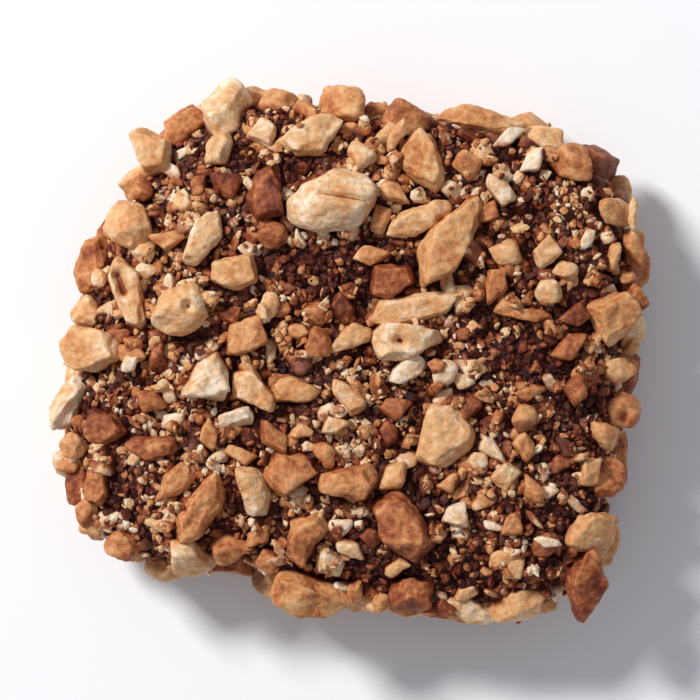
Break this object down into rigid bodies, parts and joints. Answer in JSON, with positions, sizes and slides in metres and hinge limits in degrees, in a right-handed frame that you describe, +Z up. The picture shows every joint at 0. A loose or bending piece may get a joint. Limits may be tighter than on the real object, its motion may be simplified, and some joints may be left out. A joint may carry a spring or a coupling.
{
  "type": "almond butter crunch",
  "caption": "Hand-cut square of butter toffee dipped in dark chocolate and coated all over with chopped roasted almonds, lying flat.",
  "frame": {"origin": "centre of the bounding box at its lowest face, on the surface the piece lies on", "axes": "+Z up through the piece's thickness; +X along its slightly longer side, to the right as seen from above; +Y away from the viewer"},
  "size_m": [0.0508, 0.0464, 0.016],
  "materials": {
    "roast_almond": "chopped roasted almond, dry and matt, tan to golden brown with some cream faces",
    "dark_chocolate": "dark dipping chocolate, satin where bare, seen between the nuts"
  },
  "bodies": {
    "root": {"almond_butter_crunch": "roast_almond"}
  },
  "joints": []
}
